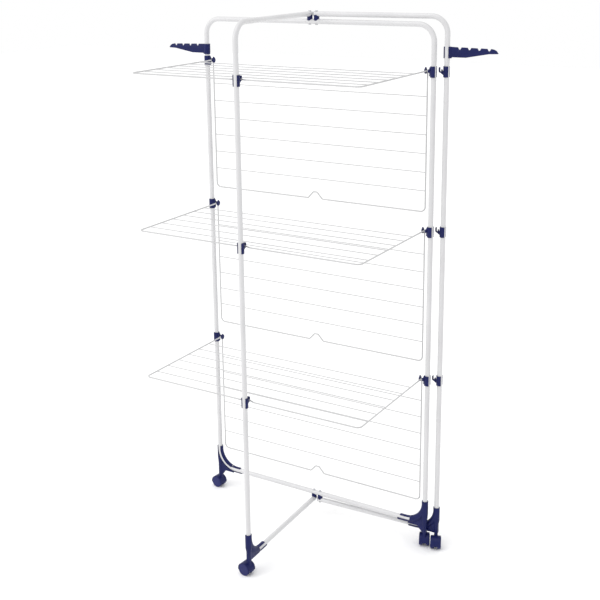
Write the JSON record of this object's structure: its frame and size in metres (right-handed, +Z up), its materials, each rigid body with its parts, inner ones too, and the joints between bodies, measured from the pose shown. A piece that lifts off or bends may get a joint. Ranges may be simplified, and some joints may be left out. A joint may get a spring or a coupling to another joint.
{
  "type": "clothes drying rack",
  "caption": "Tall folding clothes drying rack: tube frame with a folding wing on each side, wire racks on both faces, hanger arms and twin-wheel casters.",
  "frame": {"origin": "on the floor below the middle of the main frame", "axes": "+X along the main frame to the side of the shut wing, +Y to the back, +Z up"},
  "size_m": [1.1505, 0.4811, 1.7223],
  "materials": {
    "tube_white": "satin",
    "wire_white": "satin",
    "plastic_navy": "satin",
    "wheel_navy": "matte",
    "zinc_steel": "satin"
  },
  "bodies": {
    "main_frame": {"main_frame_upper": "tube_white", "main_frame_lower": "tube_white", "frame_pivot_saddles": "plastic_navy", "pivot_rivets": "zinc_steel", "bracket_left_top": "plastic_navy", "bracket_left_mid": "plastic_navy", "bracket_left_low": "plastic_navy", "bracket_right_top": "plastic_navy", "bracket_right_mid": "plastic_navy", "bracket_right_low": "plastic_navy", "foot_frame_left": "plastic_navy", "foot_frame_right": "plastic_navy"},
    "left_wing": {"left_wing_tube_upper": "tube_white", "left_wing_tube_lower": "tube_white", "left_wing_end_plugs": "plastic_navy", "left_wing_pivot_saddles": "plastic_navy", "left_wing_foot": "plastic_navy", "left_wing_hook_top": "plastic_navy", "left_wing_hook_mid": "plastic_navy", "left_wing_hook_low": "plastic_navy"},
    "right_wing": {"right_wing_tube_upper": "tube_white", "right_wing_tube_lower": "tube_white", "right_wing_end_plugs": "plastic_navy", "right_wing_pivot_saddles": "plastic_navy", "right_wing_foot": "plastic_navy", "right_wing_hook_top": "plastic_navy", "right_wing_hook_mid": "plastic_navy", "right_wing_hook_low": "plastic_navy"},
    "arm_left": {"hanger_arm_left": "plastic_navy"},
    "arm_right": {"hanger_arm_right": "plastic_navy"},
    "rack_front_top": {"rack_front_top_rim": "wire_white", "rack_front_top_wires": "wire_white"},
    "rack_front_mid": {"rack_front_mid_rim": "wire_white", "rack_front_mid_wires": "wire_white"},
    "rack_front_low": {"rack_front_low_rim": "wire_white", "rack_front_low_wires": "wire_white"},
    "rack_back_top": {"rack_back_top_rim": "wire_white", "rack_back_top_wires": "wire_white"},
    "rack_back_mid": {"rack_back_mid_rim": "wire_white", "rack_back_mid_wires": "wire_white"},
    "rack_back_low": {"rack_back_low_rim": "wire_white", "rack_back_low_wires": "wire_white"},
    "caster_frame_left": {"caster_frame_left_housing": "plastic_navy", "caster_frame_left_axle": "zinc_steel"},
    "wheel_frame_left_a": {"caster_frame_left_wheel_a": "wheel_navy"},
    "wheel_frame_left_b": {"caster_frame_left_wheel_b": "wheel_navy"},
    "caster_frame_right": {"caster_frame_right_housing": "plastic_navy", "caster_frame_right_axle": "zinc_steel"},
    "wheel_frame_right_a": {"caster_frame_right_wheel_a": "wheel_navy"},
    "wheel_frame_right_b": {"caster_frame_right_wheel_b": "wheel_navy"},
    "caster_left_wing": {"caster_left_wing_housing": "plastic_navy", "caster_left_wing_axle": "zinc_steel"},
    "wheel_left_wing_a": {"caster_left_wing_wheel_a": "wheel_navy"},
    "wheel_left_wing_b": {"caster_left_wing_wheel_b": "wheel_navy"},
    "caster_right_wing": {"caster_right_wing_housing": "plastic_navy", "caster_right_wing_axle": "zinc_steel"},
    "wheel_right_wing_a": {"caster_right_wing_wheel_a": "wheel_navy"},
    "wheel_right_wing_b": {"caster_right_wing_wheel_b": "wheel_navy"}
  },
  "joints": [
    {"name": "left_wing_fold", "type": "hinge", "parent": "main_frame", "child": "left_wing", "pos_m": [-0.012, 0, 1.7], "axis": [0, 0, 1], "range_deg": [-82, 0]},
    {"name": "right_wing_fold", "type": "hinge", "parent": "main_frame", "child": "right_wing", "pos_m": [0.012, 0, 1.7], "axis": [0, 0, 1], "range_deg": [0, 88.96]},
    {"name": "rack_front_top_drop", "type": "hinge", "parent": "main_frame", "child": "rack_front_top", "pos_m": [0, -0.0035, 1.555], "axis": [1, 0, 0], "range_deg": [0, 90]},
    {"name": "rack_front_mid_drop", "type": "hinge", "parent": "main_frame", "child": "rack_front_mid", "pos_m": [0, -0.0035, 1.071], "axis": [1, 0, 0], "range_deg": [0, 90]},
    {"name": "rack_front_low_drop", "type": "hinge", "parent": "main_frame", "child": "rack_front_low", "pos_m": [0, -0.0035, 0.587], "axis": [1, 0, 0], "range_deg": [0, 90]},
    {"name": "rack_back_top_raise", "type": "hinge", "parent": "main_frame", "child": "rack_back_top", "pos_m": [0, 0.0035, 1.555], "axis": [1, 0, 0], "range_deg": [0, 90]},
    {"name": "rack_back_mid_raise", "type": "hinge", "parent": "main_frame", "child": "rack_back_mid", "pos_m": [0, 0.0035, 1.071], "axis": [1, 0, 0], "range_deg": [0, 90]},
    {"name": "rack_back_low_raise", "type": "hinge", "parent": "main_frame", "child": "rack_back_low", "pos_m": [0, 0.0035, 0.587], "axis": [1, 0, 0], "range_deg": [0, 90]},
    {"name": "hanger_arm_left_swing", "type": "hinge", "parent": "main_frame", "child": "arm_left", "pos_m": [-0.406, 0, 1.591], "axis": [0, 0, 1], "range_deg": [-80, 55]},
    {"name": "hanger_arm_right_swing", "type": "hinge", "parent": "right_wing", "child": "arm_right", "pos_m": [0.43854, 0.01974, 1.609], "axis": [0, 0, 1], "range_deg": [-80, 80]},
    {"name": "caster_frame_left_swivel", "type": "hinge", "parent": "main_frame", "child": "caster_frame_left", "pos_m": [-0.406, 0, 0.06], "axis": [0, 0, 1], "continuous": true},
    {"name": "caster_frame_left_wheel_a_roll", "type": "hinge", "parent": "caster_frame_left", "child": "wheel_frame_left_a", "pos_m": [-0.41694, 0.00115, 0.02], "axis": [0.1045, 0.9945, 0], "continuous": true},
    {"name": "caster_frame_left_wheel_b_roll", "type": "hinge", "parent": "caster_frame_left", "child": "wheel_frame_left_b", "pos_m": [-0.41694, 0.00115, 0.02], "axis": [0.1045, 0.9945, 0], "continuous": true},
    {"name": "caster_frame_right_swivel", "type": "hinge", "parent": "main_frame", "child": "caster_frame_right", "pos_m": [0.406, 0, 0.06], "axis": [0, 0, 1], "range_deg": [-5, 180]},
    {"name": "caster_frame_right_wheel_a_roll", "type": "hinge", "parent": "caster_frame_right", "child": "wheel_frame_right_a", "pos_m": [0.40193, 0.01022, 0.02], "axis": [0.9291, 0.3697, 0], "continuous": true},
    {"name": "caster_frame_right_wheel_b_roll", "type": "hinge", "parent": "caster_frame_right", "child": "wheel_frame_right_b", "pos_m": [0.40193, 0.01022, 0.02], "axis": [0.9291, 0.3697, 0], "continuous": true},
    {"name": "caster_left_wing_swivel", "type": "hinge", "parent": "left_wing", "child": "caster_left_wing", "pos_m": [0, -0.42683, 0.06], "axis": [0, 0, 1], "continuous": true},
    {"name": "caster_left_wing_wheel_a_roll", "type": "hinge", "parent": "caster_left_wing", "child": "wheel_left_wing_a", "pos_m": [-0.01094, -0.42568, 0.02], "axis": [0.1045, 0.9945, 0], "continuous": true},
    {"name": "caster_left_wing_wheel_b_roll", "type": "hinge", "parent": "caster_left_wing", "child": "wheel_left_wing_b", "pos_m": [-0.01094, -0.42568, 0.02], "axis": [0.1045, 0.9945, 0], "continuous": true},
    {"name": "caster_right_wing_swivel", "type": "hinge", "parent": "right_wing", "child": "caster_right_wing", "pos_m": [0.43854, 0.01974, 0.06], "axis": [0, 0, 1], "range_deg": [-5, 180]},
    {"name": "caster_right_wing_wheel_a_roll", "type": "hinge", "parent": "caster_right_wing", "child": "wheel_right_wing_a", "pos_m": [0.44261, 0.00952, 0.02], "axis": [-0.9291, -0.3697, 0], "continuous": true},
    {"name": "caster_right_wing_wheel_b_roll", "type": "hinge", "parent": "caster_right_wing", "child": "wheel_right_wing_b", "pos_m": [0.44261, 0.00952, 0.02], "axis": [-0.9291, -0.3697, 0], "continuous": true}
  ],
  "couplings": [
    {"joint": "rack_front_top_drop", "follows": "left_wing_fold", "ratio": -1.0976},
    {"joint": "rack_front_mid_drop", "follows": "left_wing_fold", "ratio": -1.0976},
    {"joint": "rack_front_low_drop", "follows": "left_wing_fold", "ratio": -1.0976}
  ]
}
